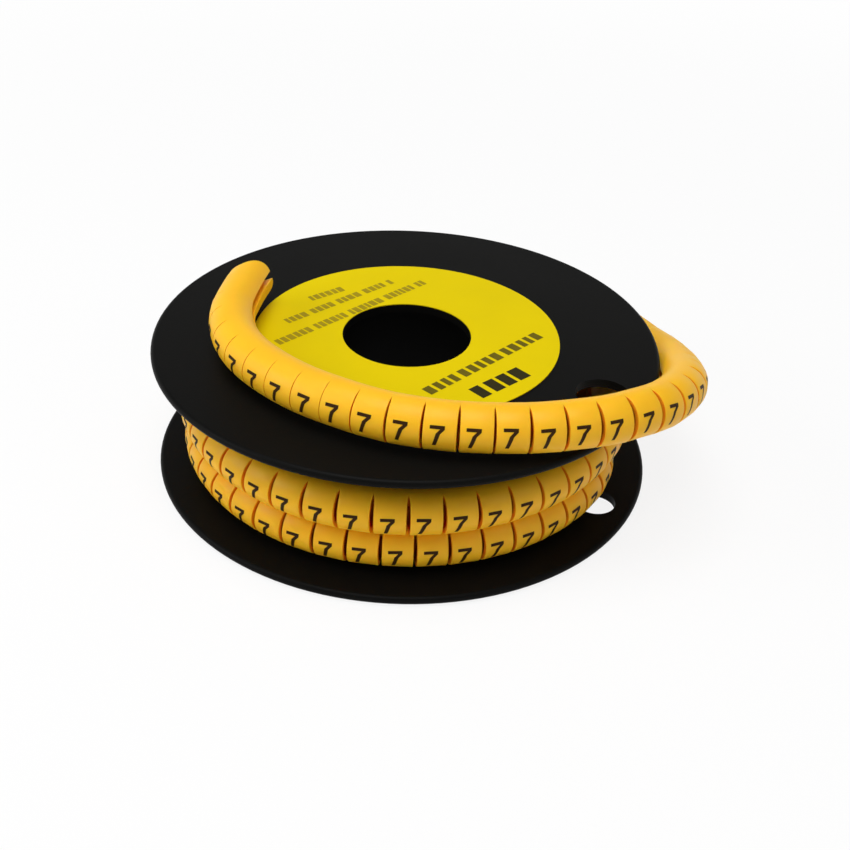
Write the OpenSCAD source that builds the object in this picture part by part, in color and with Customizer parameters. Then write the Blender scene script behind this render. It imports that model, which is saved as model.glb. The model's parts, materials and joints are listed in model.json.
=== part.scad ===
// A roll of slit tube markers for cables: a strip of printed sleeves wound on a two-part reel.
// Millimetres, +Z up. The origin is on the reel's axis at its lower face.

/* [Reel] */
// Outside diameter of both flanges
flange_diameter = 90; // [86:1:100]
// Height over both flanges
reel_height = 24.3; // [23.8:0.1:30]
// Thickness of a flange, whose rim is fully rounded
flange_thickness = 1.5; // [1.2:0.1:2]
// Diameter of the spindle hole in both flanges
bore_diameter = 22.8; // [16:0.2:24]
// Wall of the drum that the strip is wound on
drum_wall = 2; // [1.6:0.1:2.6]
// How far the two halves of the drum lap over each other
lap_length = 4; // [2:0.5:6]
// Diameter of the hole in the labelled flange that the strip's end is tucked through
upper_hole_diameter = 9.2; // [8:0.1:10]
// Diameter of the tighter hole in the lower flange
lower_hole_diameter = 7.2; // [6:0.1:9]
// Direction of the labelled flange's hole, seen from above
hole_angle = -27; // [-60:0.5:60]
// How far the lower flange's hole is turned from it
lower_hole_turn = 1.5; // [-10:0.5:10]
// Width of flange that is left between these holes and the rim
hole_edge = 2.9; // [2:0.1:5]

/* [Label] */
// Outside diameter of the paper label
label_diameter = 54.6; // [48:0.2:64]
// Thickness of the label
label_thickness = 0.15; // [0.1:0.05:0.3]

/* [Strip] */
// Outside diameter of a sleeve
tube_diameter = 7.9; // [7.2:0.1:8.2]
// Wall of a sleeve
tube_wall = 0.85; // [0.6:0.05:1.1]
// Length of one sleeve
sleeve_length = 5; // [4.4:0.1:5.4]
// Slit between two sleeves where the strip lies straight
slit_width = 0.2; // [0.15:0.05:0.4]
// Width of the fold that lets a sleeve open for a thicker cable
fold_width = 1.3; // [0.8:0.1:1.8]
// Depth of the fold
fold_depth = 1.9; // [1.2:0.1:2.2]

/* [Winding] */
// How far the lower row's middle lies inside the rim
lower_row_inset = 8.8; // [8.4:0.1:10]
// How far the looser upper row's middle lies inside the rim
upper_row_inset = 6.8; // [6.4:0.1:8]
// Play between the lower row and the flange below it
row_seat = 0.55; // [0.3:0.05:0.8]
// Play between the free end and what it runs past
lay_gap = 0.25; // [0.2:0.05:0.5]

/* [Hidden] */
flange_radius = flange_diameter / 2;
bore_radius = bore_diameter / 2;
tube_radius = tube_diameter / 2;
upper_flange_z = reel_height - flange_thickness;
middle_z = reel_height / 2;

// Rows of the winding, as radius and height of the tube's middle.
row_gap = 0.15;
row_step = tube_diameter + row_gap;
turn_gap = 0.25;
turn_press = 0.12;
lower_r = flange_radius - lower_row_inset;
upper_r = flange_radius - upper_row_inset;
lower_z = flange_thickness + row_seat + tube_radius;
upper_z = lower_z + row_step;
second_r = lower_r - sqrt(pow(tube_diameter + turn_gap, 2) - pow(row_step / 2, 2));
second_z = lower_z + row_step / 2;
first_r = second_r - sqrt(pow(tube_diameter - turn_press, 2) - pow(row_step / 2, 2));

// The drum carries the first turns, and its halves lap with a step in the wall.
drum_gap = 0.15;
drum_radius = first_r - tube_radius - drum_gap;
drum_bore_radius = drum_radius - drum_wall;
lap_radius = drum_radius - drum_wall / 2;
lap_play = 0.05;
lap_end_play = 0.2;

// The fold's edge is rounded, and the label stands just back from the spindle hole.
label_edge = 0.1;
cut_margin = 1;

// Links join the sleeves on the folded side, a little inside the sleeve's own faces.
pitch = sleeve_length + slit_width;
hinge_relief = 0.4;
link_inset = 0.1;
link_bite = 0.25;
link_length = slit_width + 2 * (hinge_relief + link_bite);

// The route of the strip's last two turns and its free end: direction, radius and height.
// Directions fall along the strip, which runs clockwise seen from above.
rim_r = flange_radius + tube_radius + lay_gap;
top_z = reel_height + label_thickness + lay_gap + tube_radius;
climb = top_z - upper_z;
swing = rim_r - upper_r;
pass_r = second_r + tube_diameter + turn_gap;
route_start = 780;
route = [
    [route_start, second_r, second_z],
    [750, second_r + 0.3 * (lower_r - second_r), second_z - 0.38 * (second_z - lower_z)],
    [720, second_r + 0.72 * (lower_r - second_r), second_z - 0.85 * (second_z - lower_z)],
    [690, lower_r, lower_z],
    [480, lower_r, lower_z],
    [456, (lower_r + pass_r) / 2, lower_z + 0.15 * row_step],
    [432, pass_r + row_gap, lower_z + 0.5 * row_step],
    [408, pass_r + row_gap, lower_z + 0.85 * row_step],
    [385, pass_r + row_gap, upper_z],
    [345, pass_r, upper_z],
    [270, upper_r, upper_z],
    [190, lower_r + 0.3 * (upper_r - lower_r), upper_z],
    [140, lower_r + 0.3 * (upper_r - lower_r), upper_z],
    [95, upper_r + 0.31 * swing, upper_z + 0.05 * climb],
    [70, upper_r + 0.55 * swing, upper_z + 0.08 * climb],
    [35, upper_r + 0.81 * swing, upper_z + 0.1 * climb],
    [20, upper_r + 0.88 * swing, upper_z + 0.14 * climb],
    [8, upper_r + 0.96 * swing, upper_z + 0.27 * climb],
    [-4, upper_r + 0.99 * swing, upper_z + 0.475 * climb],
    [-16, upper_r + 1.016 * swing, upper_z + 0.71 * climb],
    [-28, upper_r + 0.945 * swing, upper_z + 0.87 * climb],
    [-40, upper_r + 0.74 * swing, upper_z + 0.97 * climb],
    [-54, 0.94 * flange_radius, top_z],
    [-70, 0.845 * flange_radius, top_z],
    [-90, 0.763 * flange_radius, top_z],
    [-113, 0.7 * flange_radius, top_z],
    [-135, 0.683 * flange_radius, top_z],
    [-155, 0.687 * flange_radius, top_z],
    [-172, 0.682 * flange_radius, top_z],
    [-186, 0.672 * flange_radius, top_z],
    [-198, 0.68 * flange_radius, top_z],
];
route_end = route[len(route) - 1][0];
route_grain = 0.5;

// Slope of the route at a station: the harmonic mean of its two sides, so it never overshoots.
function side(i, k) = (route[i + 1][k] - route[i][k]) / (route[i + 1][0] - route[i][0]);
function slope(i, k) =
    i == 0 ? 0 :
    i == len(route) - 1 ? side(i - 1, k) :
    side(i - 1, k) * side(i, k) <= 0 ? 0 :
    2 * side(i - 1, k) * side(i, k) / (side(i - 1, k) + side(i, k));
function station(a, i = 0) =
    i == len(route) - 2 || a >= route[i + 1][0] ? i : station(a, i + 1);
function hermite(i, k, u, h) =
    route[i][k] * (2 * u * u * u - 3 * u * u + 1) + route[i + 1][k] * (3 * u * u - 2 * u * u * u)
    + h * slope(i, k) * (u * u * u - 2 * u * u + u) + h * slope(i + 1, k) * (u * u * u - u * u);
function along(a, k) =
    let (i = station(a), h = route[i + 1][0] - route[i][0]) hermite(i, k, (a - route[i][0]) / h, h);
function place(a) = let (r = along(a, 1)) [r * cos(a), r * sin(a), along(a, 2)];

// Length along the route against direction, for even spacing.
mile = [
    for (a = route_start, p = place(route_start), s = 0;
        a >= route_end;
        q = place(a - route_grain), s = s + norm(q - p), p = q, a = a - route_grain)
    [s, a]
];
strip_length = mile[len(mile) - 1][0];
sleeves = floor(strip_length / pitch);
step_along = strip_length / sleeves;

// The last covered turn stops where the sleeves take over, and starts clear of where they leave.
last_turn_start = route_start - 720 + slit_width / 2 / second_r * 180 / PI;
last_turn_sweep = 250;
covered_sweep = 352;

// A frame on the route: X outward, Y up, Z along the strip.
function unit(v) = v / norm(v);
function pose(s) =
    let (a = lookup(s, mile), t = unit(place(a - route_grain) - place(a + route_grain)),
        o = [cos(a), sin(a), 0], n = unit(o - (o * t) * t), b = cross(t, n), p = place(a))
    [[n[0], b[0], t[0], p[0]], [n[1], b[1], t[1], p[1]], [n[2], b[2], t[2], p[2]], [0, 0, 0, 1]];

$fa = 4;
$fs = 0.3;

// Section of a slot with a round end, open towards -X.
module slot_2d(depth, half_width) {
    translate([-tube_radius - cut_margin, -half_width])
        square([cut_margin + depth - half_width, 2 * half_width]);
    translate([-tube_radius + depth - half_width, 0]) circle(half_width);
}

// Section of the tube: a ring with one wall folded in, thinned all round by an inset.
module tube_2d(inset = 0) {
    difference() {
        circle(tube_radius - inset);
        difference() {
            circle(tube_radius - tube_wall + inset);
            slot_2d(fold_depth + tube_wall - inset, fold_width / 2 + tube_wall - inset);
        }
        slot_2d(fold_depth + inset, fold_width / 2 + inset);
    }
}

module sleeve() {
    translate([0, 0, -sleeve_length / 2]) difference() {
        linear_extrude(sleeve_length) tube_2d();
        for (z = [-cut_margin, sleeve_length - hinge_relief])
            translate([-tube_diameter, -tube_diameter, z])
                cube([tube_diameter, 2 * tube_diameter, cut_margin + hinge_relief]);
    }
}

module link() {
    linear_extrude(link_length, center = true) intersection() {
        tube_2d(link_inset);
        translate([-tube_diameter - link_inset, -tube_diameter])
            square([tube_diameter, 2 * tube_diameter]);
    }
}

// The covered turns are plain: one that runs on into the sleeves, and two pressed against it.
module covered_turns() {
    rotate([0, 0, last_turn_start]) rotate_extrude(angle = last_turn_sweep)
        translate([second_r, second_z]) circle(tube_radius);
    rotate([0, 0, last_turn_start]) rotate_extrude(angle = covered_sweep) {
        translate([first_r, lower_z]) circle(tube_radius);
        translate([first_r, upper_z]) circle(tube_radius);
    }
}

module marker_strip() {
    color("orange") {
        covered_turns();
        for (i = [0 : sleeves - 1]) union() {
            multmatrix(pose(i * step_along)) link();
            multmatrix(pose((i + 0.5) * step_along)) sleeve();
        }
    }
}

// A flange with a rounded rim, the spindle hole and a tuck hole, lying on z = 0.
module flange(tuck_diameter, tuck_angle) {
    difference() {
        rotate_extrude() {
            translate([bore_radius, 0])
                square([flange_radius - flange_thickness / 2 - bore_radius, flange_thickness]);
            translate([flange_radius - flange_thickness / 2, flange_thickness / 2])
                circle(flange_thickness / 2);
        }
        rotate([0, 0, tuck_angle])
            translate([flange_radius - hole_edge - tuck_diameter / 2, 0, -cut_margin])
                cylinder(r = tuck_diameter / 2, h = flange_thickness + 2 * cut_margin);
    }
}

// A ring of drum wall between two radii and two heights.
module drum_ring(inner, outer, from, to) {
    rotate_extrude() translate([inner, from]) square([outer - inner, to - from]);
}

module lower_reel_half() {
    color("dimgray") {
        flange(lower_hole_diameter, hole_angle + lower_hole_turn);
        drum_ring(drum_bore_radius, drum_radius, flange_thickness, middle_z - lap_length / 2);
        drum_ring(lap_radius, drum_radius, middle_z - lap_length / 2, middle_z + lap_length / 2);
    }
}

module upper_reel_half() {
    color("gray") {
        translate([0, 0, upper_flange_z]) flange(upper_hole_diameter, hole_angle);
        drum_ring(drum_bore_radius, drum_radius,
            middle_z + lap_length / 2 + lap_end_play, upper_flange_z);
        drum_ring(drum_bore_radius, lap_radius - lap_play,
            middle_z - lap_length / 2, middle_z + lap_length / 2 + lap_end_play);
    }
}

module label() {
    color("gold") translate([0, 0, reel_height])
        rotate_extrude() translate([bore_radius + label_edge, 0])
            square([label_diameter / 2 - bore_radius - label_edge, label_thickness]);
}

lower_reel_half();
upper_reel_half();
label();
marker_strip();
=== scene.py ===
import json
import math
import random

import bpy
import numpy as np
from mathutils import Matrix, Vector

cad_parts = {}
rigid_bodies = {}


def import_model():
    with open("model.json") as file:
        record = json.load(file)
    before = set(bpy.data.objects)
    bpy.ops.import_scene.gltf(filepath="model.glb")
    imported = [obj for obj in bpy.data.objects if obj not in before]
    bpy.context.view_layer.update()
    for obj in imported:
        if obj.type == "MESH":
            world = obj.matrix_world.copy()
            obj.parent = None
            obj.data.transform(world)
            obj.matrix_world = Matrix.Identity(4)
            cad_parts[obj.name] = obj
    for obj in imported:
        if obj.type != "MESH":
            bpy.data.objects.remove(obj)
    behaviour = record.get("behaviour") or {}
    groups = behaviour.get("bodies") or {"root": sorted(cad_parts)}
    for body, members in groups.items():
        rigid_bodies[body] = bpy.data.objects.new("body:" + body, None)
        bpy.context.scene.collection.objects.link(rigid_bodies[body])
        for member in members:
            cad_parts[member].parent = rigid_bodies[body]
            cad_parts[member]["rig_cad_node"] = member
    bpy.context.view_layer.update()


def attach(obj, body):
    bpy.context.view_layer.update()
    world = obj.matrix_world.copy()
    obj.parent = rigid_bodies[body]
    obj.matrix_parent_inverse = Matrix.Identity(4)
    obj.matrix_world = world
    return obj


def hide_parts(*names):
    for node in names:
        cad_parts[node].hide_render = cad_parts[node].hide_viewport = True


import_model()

mm = 0.001
scene = bpy.context.scene
scene.view_settings.view_transform = "Standard"


# camera
cameraSet = {
    "place": (3.97, -196.10, 133.76),  # mm
    "elevation": 33.244,
    "roll": 2.637,
    "lens": 53.08,
    "sensor": 36.0,
    "clip": (0.01, 20.0),  # metres
}


def makeCamera():
    el, ro = math.radians(cameraSet["elevation"]), math.radians(cameraSet["roll"])
    back = Vector((0, -math.cos(el), math.sin(el)))
    right, up = Vector((1, 0, 0)), Vector((0, math.sin(el), math.cos(el)))
    r2 = right * math.cos(ro) + up * math.sin(ro)
    u2 = up * math.cos(ro) - right * math.sin(ro)
    data = bpy.data.cameras.new("shotCamera")
    data.lens, data.sensor_width, data.sensor_fit = cameraSet["lens"], cameraSet["sensor"], "HORIZONTAL"
    data.clip_start, data.clip_end = cameraSet["clip"]
    cam = bpy.data.objects.new("shotCamera", data)
    scene.collection.objects.link(cam)
    m = Matrix((r2, u2, back)).transposed().to_4x4()
    m.translation = Vector(cameraSet["place"]) * mm
    cam.matrix_world = m
    scene.camera = cam


makeCamera()
print("camera set")


# small node helpers
def addNode(tree, kind, at=(0, 0), **values):
    n = tree.nodes.new(kind)
    n.location = at
    for k, v in values.items():
        if hasattr(n, k):
            setattr(n, k, v)
        else:
            n.inputs[k.replace("_", " ")].default_value = v
    return n


def newMaterial(name):
    mat = bpy.data.materials.new(name)
    mat.use_nodes = True
    tree = mat.node_tree
    shader = next(n for n in tree.nodes if n.type == "BSDF_PRINCIPLED")
    return mat, tree, shader


def newGroup(name, takes, gives):
    g = bpy.data.node_groups.new(name, "ShaderNodeTree")
    for n, kind, value in takes:
        s = g.interface.new_socket(n, in_out="INPUT", socket_type=kind)
        s.default_value = value
    for n, kind in gives:
        g.interface.new_socket(n, in_out="OUTPUT", socket_type=kind)
    return g, g.nodes.new("NodeGroupInput"), g.nodes.new("NodeGroupOutput")


# mottle: slow drift of colour plus fine grain for the bump
def makeMottle():
    g, gin, gout = newGroup(
        "surfaceMottle",
        [("Colour", "NodeSocketColor", (0.5, 0.5, 0.5, 1)), ("Drift", "NodeSocketFloat", 0.1),
         ("Drift Size", "NodeSocketFloat", 60.0), ("Grain Size", "NodeSocketFloat", 900.0),
         ("Roughness", "NodeSocketFloat", 0.5), ("Roughness Spread", "NodeSocketFloat", 0.1)],
        [("Colour", "NodeSocketColor"), ("Roughness", "NodeSocketFloat"), ("Grain", "NodeSocketFloat")])
    at = addNode(g, "ShaderNodeTexCoord")
    slow = addNode(g, "ShaderNodeTexNoise", Detail=3.0)
    fine = addNode(g, "ShaderNodeTexNoise", Detail=4.0)
    for n, size in ((slow, "Drift Size"), (fine, "Grain Size")):
        g.links.new(at.outputs["Object"], n.inputs["Vector"])
        g.links.new(gin.outputs[size], n.inputs["Scale"])
    # 1 + drift * (noise - 0.5) * 2
    swing = addNode(g, "ShaderNodeMath", operation="MULTIPLY_ADD")
    swing.inputs[1].default_value, swing.inputs[2].default_value = 2.0, -1.0
    g.links.new(slow.outputs["Fac"], swing.inputs[0])
    gain = addNode(g, "ShaderNodeMath", operation="MULTIPLY_ADD")
    gain.inputs[2].default_value = 1.0
    g.links.new(swing.outputs[0], gain.inputs[0])
    g.links.new(gin.outputs["Drift"], gain.inputs[1])
    tint = addNode(g, "ShaderNodeVectorMath", operation="SCALE")
    g.links.new(gin.outputs["Colour"], tint.inputs[0])
    g.links.new(gain.outputs[0], tint.inputs["Scale"])
    rough = addNode(g, "ShaderNodeMath", operation="MULTIPLY_ADD")
    g.links.new(swing.outputs[0], rough.inputs[0])
    g.links.new(gin.outputs["Roughness Spread"], rough.inputs[1])
    g.links.new(gin.outputs["Roughness"], rough.inputs[2])
    g.links.new(tint.outputs[0], gout.inputs["Colour"])
    g.links.new(rough.outputs[0], gout.inputs["Roughness"])
    g.links.new(fine.outputs["Fac"], gout.inputs["Grain"])
    return g


mottle = makeMottle()


def mottledMaterial(name, look):
    mat, tree, shader = newMaterial(name)
    g = addNode(tree, "ShaderNodeGroup", (-500, 0))
    g.node_tree = mottle
    g.inputs["Colour"].default_value = (*look["colour"], 1)
    for k in ("Drift", "Drift Size", "Grain Size", "Roughness", "Roughness Spread"):
        g.inputs[k].default_value = look[k]
    tree.links.new(g.outputs["Colour"], shader.inputs["Base Color"])
    tree.links.new(g.outputs["Roughness"], shader.inputs["Roughness"])
    bump = addNode(tree, "ShaderNodeBump", (-250, -250))
    bump.inputs["Strength"].default_value = look["bump"]
    bump.inputs["Distance"].default_value = look["depth"]
    tree.links.new(g.outputs["Grain"], bump.inputs["Height"])
    tree.links.new(bump.outputs["Normal"], shader.inputs["Normal"])
    for k, v in look.get("fixed", {}).items():
        shader.inputs[k].default_value = v
    return mat


finishes = {
    "reelBlack": {"colour": (0.0036, 0.0036, 0.0033), "Drift": 0.12, "Drift Size": 70.0, "Grain Size": 2600.0,
                  "Roughness": 0.46, "Roughness Spread": 0.08, "bump": 0.22, "depth": 0.00006,
                  "fixed": {"Specular IOR Level": 0.05}},
    "labelYellow": {"colour": (0.71, 0.545, 0.001), "Drift": 0.05, "Drift Size": 90.0, "Grain Size": 3200.0,
                    "Roughness": 0.5, "Roughness Spread": 0.06, "bump": 0.12, "depth": 0.00003,
                    "fixed": {"Specular IOR Level": 0.04}},
    "labelInk": {"colour": (0.026, 0.021, 0.003), "Drift": 0.25, "Drift Size": 500.0, "Grain Size": 4000.0,
                 "Roughness": 0.5, "Roughness Spread": 0.05, "bump": 0.1, "depth": 0.00002,
                 "fixed": {"Specular IOR Level": 0.1}},
    "labelInkThin": {"colour": (0.13, 0.10, 0.003), "Drift": 0.25, "Drift Size": 500.0, "Grain Size": 4000.0,
                     "Roughness": 0.5, "Roughness Spread": 0.05, "bump": 0.1, "depth": 0.00002,
                     "fixed": {"Specular IOR Level": 0.1}},
    "labelInkPale": {"colour": (0.33, 0.245, 0.004), "Drift": 0.25, "Drift Size": 500.0, "Grain Size": 4000.0,
                     "Roughness": 0.5, "Roughness Spread": 0.05, "bump": 0.1, "depth": 0.00002,
                     "fixed": {"Specular IOR Level": 0.1}},
    "markerVinyl": {"colour": (0.97, 0.49, 0.014), "Drift": 0.05, "Drift Size": 160.0, "Grain Size": 1500.0,
                    "Roughness": 0.45, "Roughness Spread": 0.06, "bump": 0.12, "depth": 0.00005,
                    "fixed": {"Subsurface Weight": 0.3, "Subsurface Radius": (1.0, 0.35, 0.06),
                              "Subsurface Scale": 0.002, "Specular IOR Level": 0.2}},
    # painted shade: a darker, redder copy of the marker vinyl for the slit walls and the tube's hollow,
    # standing in for the shade and orange bounce light inside the slits
    "paintedSlitShadeVinyl": {"colour": (0.90, 0.27, 0.006), "Drift": 0.10, "Drift Size": 300.0, "Grain Size": 1500.0,
                 "Roughness": 0.6, "Roughness Spread": 0.05, "bump": 0.2, "depth": 0.00006,
                 "fixed": {"Subsurface Weight": 0.7, "Subsurface Radius": (1.0, 0.3, 0.05),
                           "Subsurface Scale": 0.003, "Specular IOR Level": 0.2}},
    "figureInk": {"colour": (0.034, 0.014, 0.003), "Drift": 0.3, "Drift Size": 700.0, "Grain Size": 3500.0,
                  "Roughness": 0.5, "Roughness Spread": 0.06, "bump": 0.1, "depth": 0.00002,
                  "fixed": {"Specular IOR Level": 0.08}},
}
made = {name: mottledMaterial(name, look) for name, look in finishes.items()}
print("finishes made", len(made))


# CAD nodes that keep their shape
nodeFinish = {"lower_reel_half": "reelBlack", "upper_reel_half": "reelBlack", "label": "labelYellow"}


def nodeObject(name):
    return next(o for o in bpy.data.objects if o.type == "MESH" and o.get("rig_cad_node") == name)


for name, finish in nodeFinish.items():
    o = nodeObject(name)
    o.data.materials.clear()
    o.data.materials.append(made[finish])


def meshPiece(name, verts, faces, materials, slots=None, sharp=35):
    me = bpy.data.meshes.new(name)
    me.from_pydata([tuple(v) for v in verts], [], [tuple(f) for f in faces])
    for m in materials:
        me.materials.append(m)
    if slots is not None:
        me.polygons.foreach_set("material_index", slots)
    me.polygons.foreach_set("use_smooth", [True] * len(me.polygons))
    me.validate()
    me.set_sharp_from_angle(angle=math.radians(sharp))
    o = bpy.data.objects.new(name, me)
    scene.collection.objects.link(o)
    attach(o, "root")
    return o


# the strip and its route, as in the solids, in mm and degrees
reel = {"flangeR": 45.0, "height": 24.3, "flangeT": 1.5, "labelT": 0.15}
strip = {
    "radius": 3.95, "wall": 0.85, "length": 5.0, "slit": 0.2, "foldHalf": 0.65, "foldDepth": 1.9,
    "lowerInset": 8.8, "upperInset": 6.8, "seat": 0.55, "layGap": 0.25, "rowGap": 0.15, "turnGap": 0.25,
    "turnPress": 0.12, "grain": 0.5, "coveredRings": 80, "coveredAround": 20,
    "softEdge": 0.16, "hingeBlend": 1.2, "stiffness": 0.88, "arcPoints": 52, "foldPoints": 12,
    "sway": 1.2, "seed": 7,
    # degrees that the slit side is rolled down: in the rows, until two directions, and towards the free end
    "rowRoll": 16.0, "rowRollEnds": (60.0, -20.0), "endRoll": 20.0, "endRollStarts": -75.0,
    # share by which the tail's slits close, between two directions
    "tailClose": 0.75, "tailCloseEnds": (-70.0, -115.0),
    # the free end's cut leans, longer on the folded side and below
    "endShift": 0.7, "endSkew": 1.2, "endBevel": 0.8, "endCorner": 2.4,
    # how far the sleeves have crept back along the route, by direction
    "creep": ((780, 0.0), (630, 1.65), (270, 2.5), (-90, 0.65), (-198, 0.65)),
}


def makeRoute():
    s, a = strip, strip["radius"]
    step = 2 * a + s["rowGap"]
    lowR, upR = reel["flangeR"] - s["lowerInset"], reel["flangeR"] - s["upperInset"]
    lowZ = reel["flangeT"] + s["seat"] + a
    upZ = lowZ + step
    secR = lowR - math.sqrt((2 * a + s["turnGap"]) ** 2 - (step / 2) ** 2)
    firR = secR - math.sqrt((2 * a - s["turnPress"]) ** 2 - (step / 2) ** 2)
    rimR = reel["flangeR"] + a + s["layGap"]
    topZ = reel["height"] + reel["labelT"] + s["layGap"] + a
    climb, swing, f = topZ - upZ, rimR - upR, reel["flangeR"]
    passR = secR + 2 * a + s["turnGap"]
    secZ, backR = lowZ + step / 2, lowR + 0.3 * (upR - lowR)
    # direction, radius and height, from the covered turns through the two rows
    stations = [
        (780, secR, secZ), (750, secR + 0.3 * (lowR - secR), secZ - 0.38 * (secZ - lowZ)),
        (720, secR + 0.72 * (lowR - secR), secZ - 0.85 * (secZ - lowZ)), (690, lowR, lowZ), (480, lowR, lowZ),
        (456, (lowR + passR) / 2, lowZ + 0.15 * step), (432, passR + s["rowGap"], lowZ + 0.5 * step),
        (408, passR + s["rowGap"], lowZ + 0.85 * step), (385, passR + s["rowGap"], upZ), (345, passR, upZ),
        (270, upR, upZ), (190, backR, upZ), (140, backR, upZ)]
    # leaving the row: direction, share of the way out to the rim, share of the climb
    stations += [(d, upR + out * swing, upZ + up * climb) for d, out, up in (
        (95, 0.31, 0.05), (70, 0.55, 0.08), (35, 0.81, 0.1), (20, 0.88, 0.14), (8, 0.96, 0.27),
        (-4, 0.99, 0.475), (-16, 1.016, 0.71), (-28, 0.945, 0.87), (-40, 0.74, 0.97))]
    # lying on the flange: direction, share of its radius
    stations += [(d, share * f, topZ) for d, share in (
        (-54, 0.94), (-70, 0.845), (-90, 0.763), (-113, 0.7), (-135, 0.683), (-155, 0.687), (-172, 0.682),
        (-186, 0.672), (-198, 0.68))]
    covered = [(secR, secZ, 250), (firR, lowZ, 352), (firR, upZ, 352)]
    return np.array(stations), covered


stations, coveredTurns = makeRoute()


def slopes(k):
    side = np.diff(stations[:, k]) / np.diff(stations[:, 0])
    out = np.zeros(len(stations))
    for i in range(1, len(side)):
        if side[i - 1] * side[i] > 0:
            out[i] = 2 * side[i - 1] * side[i] / (side[i - 1] + side[i])
    out[-1] = side[-1]
    return out


routeSlopes = {1: slopes(1), 2: slopes(2)}


def along(angle, k):
    i = int(np.clip(np.searchsorted(-stations[:, 0], -angle, side="right") - 1, 0, len(stations) - 2))
    h = stations[i + 1, 0] - stations[i, 0]
    u = (angle - stations[i, 0]) / h
    p, q, d = stations[i, k], stations[i + 1, k], routeSlopes[k]
    return (p * (2 * u ** 3 - 3 * u ** 2 + 1) + q * (3 * u ** 2 - 2 * u ** 3)
            + h * d[i] * (u ** 3 - 2 * u ** 2 + u) + h * d[i + 1] * (u ** 3 - u ** 2))


def place(angle):
    r, t = along(angle, 1), math.radians(angle)
    return np.array([r * math.cos(t), r * math.sin(t), along(angle, 2)])


angles = np.arange(stations[0, 0], stations[-1, 0] - 1e-9, -strip["grain"])
miles = np.concatenate([[0], np.cumsum(np.linalg.norm(np.diff([place(a) for a in angles], axis=0), axis=1))])
sleeves = int(miles[-1] // (strip["length"] + strip["slit"]))
stepAlong = miles[-1] / sleeves


def unit(v):
    return v / np.linalg.norm(v)


def ease(u):
    v = min(max(u, 0.0), 1.0)
    return v * v * (3 - 2 * v)


# distance along the route of a sleeve's end or middle, counted in sleeves
def sleeveAt(k):
    s = k * stepAlong
    turn, back = zip(*strip["creep"])
    return s - float(np.interp(-np.interp(s, miles, angles), np.negative(turn), back))


# 0 before the tail's last stretch, 1 at the free end
def nearEnd(a):
    start = strip["endRollStarts"]
    return ease((start - a) / (start - stations[-1, 0]))


def roll(a):
    first, last = strip["rowRollEnds"]
    rows = strip["rowRoll"] * ease((a - last) / (first - last))
    return math.radians(-rows - strip["endRoll"] * nearEnd(a))


# frame on the route: towards the slits, up, along, place
def pose(s):
    a = float(np.interp(s, miles, angles))
    t = unit(place(a - strip["grain"]) - place(a + strip["grain"]))
    o = np.array([math.cos(math.radians(a)), math.sin(math.radians(a)), 0])
    level = unit(o - (o @ t) * t)
    n = math.cos(roll(a)) * level + math.sin(roll(a)) * np.cross(t, level)
    return n, np.cross(t, n), t, place(a)


def toWorld(f, pts):
    n, b, t, p = f
    pts = np.asarray(pts)
    return (p + pts[:, :1] * n + pts[:, 1:2] * b + pts[:, 2:] * t) * mm


# section of the tube: outer loop and hollow loop with matching points
def tubeLoops():
    s, a = strip, strip["radius"]
    slot, rib = s["foldHalf"], s["foldHalf"] + s["wall"]
    slotX, ribX = -a + s["foldDepth"] - slot, -a + s["foldDepth"] + s["wall"] - rib
    loops = []
    for r, half, x in ((a, slot, slotX), (a - s["wall"], rib, ribX)):
        mouth = math.pi - math.asin(half / r)
        arc = [(r * math.cos(t), r * math.sin(t)) for t in np.linspace(mouth, -mouth, s["arcPoints"])]
        fold = [(x + half * math.cos(t), half * math.sin(t))
                for t in np.linspace(-math.pi / 2, math.pi / 2, s["foldPoints"])]
        loops.append(np.array(arc + fold))
    return loops


def inward(loop):
    d = np.roll(loop, -1, axis=0) - np.roll(loop, 1, axis=0)
    n = np.stack([d[:, 1], -d[:, 0]], 1)
    return n / np.linalg.norm(n, axis=1)[:, None]


outerLoop, hollowLoop = tubeLoops()


def ringQuads(base, count, rings, flip=False):
    out = []
    for r in range(rings - 1):
        for k in range(count):
            a, b = base + r * count + k, base + r * count + (k + 1) % count
            q = (a, b, b + count, a + count)
            out.append(q[::-1] if flip else q)
    return out


# how far a section point keeps to its own straight sleeve: 0 on the unbroken folded side
def cutShare(loop, s):
    u = np.clip(loop[:, 0] / strip["hingeBlend"], 0, 1)
    first, last = strip["tailCloseEnds"]
    closed = strip["tailClose"] * ease((first - float(np.interp(s, miles, angles))) / (first - last))
    return strip["stiffness"] * (1 - closed) * (u * u * (3 - 2 * u))[:, None]


# a ring of sleeve i: end is -1 to 1 along it, back and sink shape the softened rim
def sleeveRing(i, lean, loop, end, back=0.0, sink=0.0):
    middle = sleeveAt(i + 0.5)
    share = cutShare(loop, middle)
    reach = (sleeveAt(i + 1) - sleeveAt(i)) / 2 - back
    level = np.column_stack([loop, np.zeros(len(loop))])
    bent = toWorld(pose(sleeveAt(i + 0.5 + end / 2) - end * back), level)
    n, b, t, p = pose(middle)
    c, s = math.cos(lean), math.sin(lean)
    flat = np.full(len(loop), end * (reach - strip["slit"] / 2))
    stiff = toWorld((n * c + b * s, b * c - n * s, t, p), np.column_stack([loop + inward(loop) * sink, flat]))
    ring = bent * (1 - share) + stiff * share
    if i == sleeves - 1 and end > 0:
        out, up = loop[:, 0] / strip["radius"], loop[:, 1] / strip["radius"] * np.sign(b[2])
        corner = np.clip(-out, 0, 1) * np.clip(up, 0, 1)
        lean = strip["endCorner"] * corner - strip["endSkew"] * out - strip["endBevel"] * up
        ring += np.outer((strip["endShift"] + lean) * mm, t)
    return ring


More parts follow.
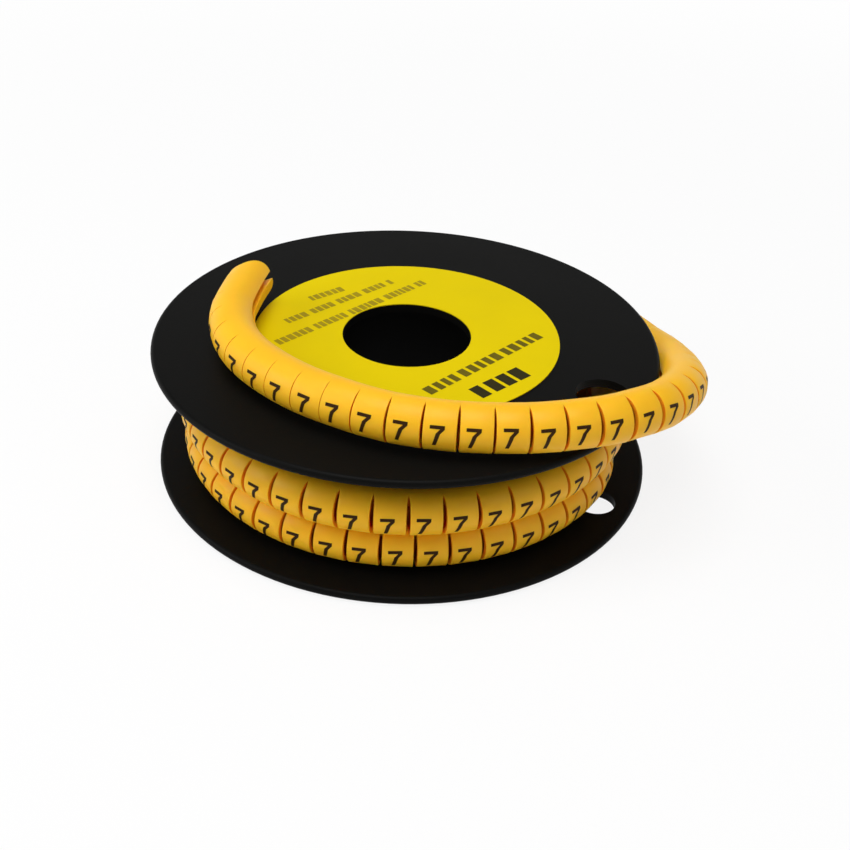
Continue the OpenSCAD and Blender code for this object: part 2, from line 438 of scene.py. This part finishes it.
def makeStrip():
    rng = random.Random(strip["seed"])
    verts, faces, slots = [], [], []
    soft = strip["softEdge"]
    count = len(outerLoop)
    outside = [(-1, 0.0, soft), (-1, 0.3 * soft, 0.3 * soft), (-1, soft, 0.0), (0, 0.0, 0.0),
               (1, soft, 0.0), (1, 0.3 * soft, 0.3 * soft), (1, 0.0, soft)]

    # points on the folded side are shared with the sleeve before
    def addRing(points, loop, shared=None):
        ring = []
        for k, point in enumerate(points):
            if shared is not None and loop[k, 0] <= 0:
                ring.append(shared[k])
            else:
                ring.append(len(verts))
                verts.append(point)
        return ring

    def band(a, b, slot, only=None):
        for k in range(count):
            j = (k + 1) % count
            if only is None or only[k] or only[j]:
                faces.append((a[k], a[j], b[j], b[k]))
                slots.append(slot)

    slitPart = [x > 0 for x in np.maximum(outerLoop[:, 0], hollowLoop[:, 0])]
    outLast = inLast = None
    for i in range(sleeves):
        lean = math.radians(rng.uniform(-1, 1) * strip["sway"])
        outer = [addRing(sleeveRing(i, lean, outerLoop, *spec), outerLoop, outLast if k == 0 else None)
                 for k, spec in enumerate(outside)]
        inner = [addRing(sleeveRing(i, lean, hollowLoop, end), hollowLoop, inLast if end < 0 else None)
                 for end in (-1, 0, 1)]
        for a, b in zip(outer, outer[1:]):
            band(a, b, 0)
        # the hollow and the slit walls take slot 1, the painted-shade copy of the vinyl; the free end's own
        # face keeps the plain vinyl
        for a, b in zip(inner, inner[1:]):
            band(b, a, 1)
        band(inner[0], outer[0], 1, None if i == 0 else slitPart)
        lastOne = i == sleeves - 1
        band(outer[-1], inner[-1], 0 if lastOne else 1, None if lastOne else slitPart)
        outLast, inLast = outer[-1], inner[-1]

    # covered turns, plain and round
    rings, around = strip["coveredRings"], strip["coveredAround"]
    start = stations[0, 0] - 720 + math.degrees(strip["slit"] / 2 / coveredTurns[0][0])
    for r, z, sweep in coveredTurns:
        base = len(verts)
        for g in np.linspace(0, 1, rings):
            t = math.radians(start + g * sweep)
            for p in np.linspace(0, 2 * math.pi, around, endpoint=False):
                w, rise = r + strip["radius"] * math.cos(p), strip["radius"] * math.sin(p)
                verts.append(np.array([w * math.cos(t), w * math.sin(t), z + rise]) * mm)
        quads = ringQuads(base, around, rings, flip=True)
        quads.append(tuple(range(base, base + around)))
        quads.append(tuple(range(base + (rings - 1) * around, base + rings * around))[::-1])
        faces += quads
        slots += [0] * len(quads)
    return meshPiece("markerStrip", verts, faces, [made["markerVinyl"], made["paintedSlitShadeVinyl"]], slots)


stripPiece = makeStrip()
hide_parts("marker_strip")
print("strip made", sleeves, "sleeves,", len(stripPiece.data.polygons), "faces")


# the figure printed on each sleeve
figure = {
    "height": 3.5, "width": 2.3, "stroke": 0.56, "lift": 0.02, "raise": 6.0, "tilt": 3.0, "shift": 0.12,
    "offset": -0.42, "seed": 3, "cuts": 4,
}


def sevenQuads():
    w, h, s = figure["width"], figure["height"], figure["stroke"]
    x0, x1, y0, y1 = -w / 2, w / 2, -h / 2, h / 2
    foot = x0 + 0.18 * w
    knee = (x0 + 0.66 * w, y1 - 0.36 * h)  # the leg bows a little
    bar = [((x0, y1 - s), (x1, y1 - s), (x1, y1), (x0, y1))]
    legRight = [(x1, y1 - s), (knee[0] + 0.10, knee[1] - 0.1), (foot + s * 1.05, y0)]
    legLeft = [(x1 - s * 1.25, y1 - s), (knee[0] - s * 0.95, knee[1]), (foot, y0)]
    leg = [(legLeft[i + 1], legRight[i + 1], legRight[i], legLeft[i]) for i in range(2)]
    return bar + leg


def makeFigures():
    rng = random.Random(figure["seed"])
    verts, faces = [], []
    r = strip["radius"] + figure["lift"]
    raised = math.radians(figure["raise"])
    cuts = figure["cuts"]
    for i in range(sleeves):
        f = pose(sleeveAt(i + 0.5))
        tilt = math.radians(rng.uniform(-1, 1) * figure["tilt"])
        dx, dy = (rng.uniform(-1, 1) * figure["shift"] for _ in range(2))
        dx += figure["offset"]
        c, s = math.cos(tilt), math.sin(tilt)
        for quad in sevenQuads():
            a, b, e, d = (np.array(p) for p in quad)
            grid = []
            for v in range(cuts + 1):
                for u in range(cuts + 1):
                    g, h = u / cuts, v / cuts
                    p = (a * (1 - g) + b * g) * (1 - h) + (d * (1 - g) + e * g) * h
                    x, y = p[0] * c - p[1] * s + dx, p[0] * s + p[1] * c + dy
                    t = y / r + raised
                    grid.append((r * math.cos(t), r * math.sin(t), -x))
            base = len(verts)
            verts += list(toWorld(f, grid))
            for v in range(cuts):
                for u in range(cuts):
                    k = base + v * (cuts + 1) + u
                    faces.append((k, k + 1, k + cuts + 2, k + cuts + 1))
    return meshPiece("printedFigures", verts, faces, [made["figureInk"]])


figurePiece = makeFigures()
print("figures made")


# plain bars on the label where it is printed
labelPrint = {
    "lift": 0.02,
    # rows of blocks: start, end, block height, shortest and longest block, gap, blocks in a group, finish
    "rows": [((-22.6, -5.3), (2.9, 21.3), 1.9, (0.7, 1.3), 0.3, 6, "labelInkPale"),
             ((-21.9, 2.6), (-3.1, 21.1), 1.8, (0.7, 1.3), 0.3, 4, "labelInkPale"),
             ((-18.5, 11.7), (-12.2, 17.0), 1.8, (0.7, 1.2), 0.3, 6, "labelInkPale"),
             ((23.6, 1.9), (3.0, -20.4), 2.4, (1.1, 1.7), 0.65, 5, "labelInkThin"),
             ((20.4, -11.2), (10.8, -20.5), 3.6, (2.1, 2.6), 0.7, 3, "labelInk")],
    "groupGap": 1.1,
    "seed": 11,
    "pieces": {"labelInkPale": "paleLabelBars", "labelInkThin": "thinLabelBars", "labelInk": "darkLabelBars"},
}


def makeLabelPrint():
    rng = random.Random(labelPrint["seed"])
    z = reel["height"] + reel["labelT"] + labelPrint["lift"]
    parts = {}
    for start, end, tall, (least, most), gap, group, finish in labelPrint["rows"]:
        verts, faces = parts.setdefault(finish, ([], []))
        p, q = np.array(start), np.array(end)
        d = unit(q - p)
        side = np.array([-d[1], d[0]]) * tall / 2
        total, s, k = np.linalg.norm(q - p), 0.0, 0
        while s < total - least:
            wide = min(rng.uniform(least, most), total - s)
            a, b = p + d * s, p + d * (s + wide)
            base = len(verts)
            verts += [np.array([*c, z]) * mm for c in (a - side, b - side, b + side, a + side)]
            faces.append((base, base + 1, base + 2, base + 3))
            k += 1
            s += wide + (labelPrint["groupGap"] if k % group == 0 else gap)
    for finish, name in labelPrint["pieces"].items():
        piece = meshPiece(name, *parts[finish], [made[finish]])


makeLabelPrint()
print("label print made")


# floor and light
stageSet = {
    "floorSize": 3.0, "whiteShare": 0.86, "whitens": (0.1, 0.45),  # between these distances, in metres
    "backdropEnds": (0.16, 0.32),  # sine of the height at which the white backdrop fades out
    "floorTone": 0.85, "worldLight": 0.25, "aim": (0, 0, 0.012), "floorDrop": 0.0002,
}


def seenDirect(tree):
    path = addNode(tree, "ShaderNodeLightPath", (-700, 200))
    a = addNode(tree, "ShaderNodeMath", (-500, 250), operation="MAXIMUM")
    b = addNode(tree, "ShaderNodeMath", (-350, 200), operation="MAXIMUM")
    tree.links.new(path.outputs["Is Camera Ray"], a.inputs[0])
    tree.links.new(path.outputs["Is Glossy Ray"], a.inputs[1])
    tree.links.new(a.outputs[0], b.inputs[0])
    tree.links.new(path.outputs["Is Transmission Ray"], b.inputs[1])
    return b.outputs[0]


def makeFloor():
    h, z = stageSet["floorSize"], -stageSet["floorDrop"]
    me = bpy.data.meshes.new("paleFloor")
    me.from_pydata([(x, y, z) for x, y in ((-h, -h), (h, -h), (h, h), (-h, h))], [], [(0, 1, 2, 3)])
    floor = bpy.data.objects.new("paleFloor", me)
    scene.collection.objects.link(floor)
    mat = bpy.data.materials.new("paleFloor")
    mat.use_nodes = True
    tree = mat.node_tree
    tree.nodes.clear()
    out = addNode(tree, "ShaderNodeOutputMaterial", (400, 0))
    matte = addNode(tree, "ShaderNodeBsdfDiffuse", (-200, 0))
    matte.inputs["Color"].default_value = (stageSet["floorTone"],) * 3 + (1,)
    glow = addNode(tree, "ShaderNodeEmission", (-200, -150))
    mix = addNode(tree, "ShaderNodeMixShader", (150, 0))
    share = addNode(tree, "ShaderNodeMath", (-100, 200), operation="MULTIPLY")
    # the floor turns white away from the reel
    spot = addNode(tree, "ShaderNodeNewGeometry", (-900, 0))
    far = addNode(tree, "ShaderNodeVectorMath", (-700, 0), operation="LENGTH")
    whiter = addNode(tree, "ShaderNodeMapRange", (-500, 0), interpolation_type="SMOOTHSTEP")
    for k, v in zip(("From Min", "From Max"), stageSet["whitens"]):
        whiter.inputs[k].default_value = v
    whiter.inputs["To Min"].default_value = stageSet["whiteShare"]
    tree.links.new(spot.outputs["Position"], far.inputs[0])
    tree.links.new(far.outputs["Value"], whiter.inputs["Value"])
    tree.links.new(whiter.outputs["Result"], share.inputs[1])
    tree.links.new(seenDirect(tree), share.inputs[0])
    tree.links.new(share.outputs[0], mix.inputs[0])
    tree.links.new(matte.outputs[0], mix.inputs[1])
    tree.links.new(glow.outputs[0], mix.inputs[2])
    tree.links.new(mix.outputs[0], out.inputs["Surface"])
    me.materials.append(mat)


def makeWorld():
    world = bpy.data.worlds.new("studioWorld")
    scene.world = world
    world.use_nodes = True
    tree = world.node_tree
    tree.nodes.clear()
    out = addNode(tree, "ShaderNodeOutputWorld", (400, 0))
    soft = addNode(tree, "ShaderNodeBackground", (0, 0))
    white = addNode(tree, "ShaderNodeBackground", (0, -150))
    for node, strength in ((soft, stageSet["worldLight"]), (white, 1.0)):
        node.inputs["Color"].default_value = (1, 1, 1, 1)
        node.inputs["Strength"].default_value = strength
    mix = addNode(tree, "ShaderNodeMixShader", (200, 0))
    # the backdrop is white near the horizon only
    way = addNode(tree, "ShaderNodeTexCoord", (-900, -100))
    parts = addNode(tree, "ShaderNodeSeparateXYZ", (-700, -100))
    low = addNode(tree, "ShaderNodeMapRange", (-500, -100), interpolation_type="SMOOTHSTEP")
    for k, v in zip(("From Min", "From Max", "To Min", "To Max"), (*stageSet["backdropEnds"], 1.0, 0.0)):
        low.inputs[k].default_value = v
    share = addNode(tree, "ShaderNodeMath", (-100, 200), operation="MULTIPLY")
    tree.links.new(way.outputs["Generated"], parts.inputs[0])
    tree.links.new(parts.outputs["Z"], low.inputs["Value"])
    tree.links.new(seenDirect(tree), share.inputs[0])
    tree.links.new(low.outputs["Result"], share.inputs[1])
    tree.links.new(share.outputs[0], mix.inputs[0])
    tree.links.new(soft.outputs[0], mix.inputs[1])
    tree.links.new(white.outputs[0], mix.inputs[2])
    tree.links.new(mix.outputs[0], out.inputs["Surface"])


lamps = {
    "overheadSoft": {"at": (-0.08, -0.12, 0.75), "size": 0.5, "watts": 4.3},
    "leftSoft": {"at": (-0.66, -0.16, 0.36), "size": 0.35, "watts": 2.0},
    "rightSoft": {"at": (0.60, -0.42, 0.42), "size": 0.45, "watts": 0.60},
}


def makeLamps():
    for name, spec in lamps.items():
        data = bpy.data.lights.new(name, "AREA")
        data.size, data.energy = spec["size"], spec["watts"]
        o = bpy.data.objects.new(name, data)
        scene.collection.objects.link(o)
        o.location = spec["at"]
        o.rotation_euler = (Vector(stageSet["aim"]) - o.location).to_track_quat("-Z", "Y").to_euler()


makeFloor()
makeWorld()
makeLamps()
print("stage and light set")
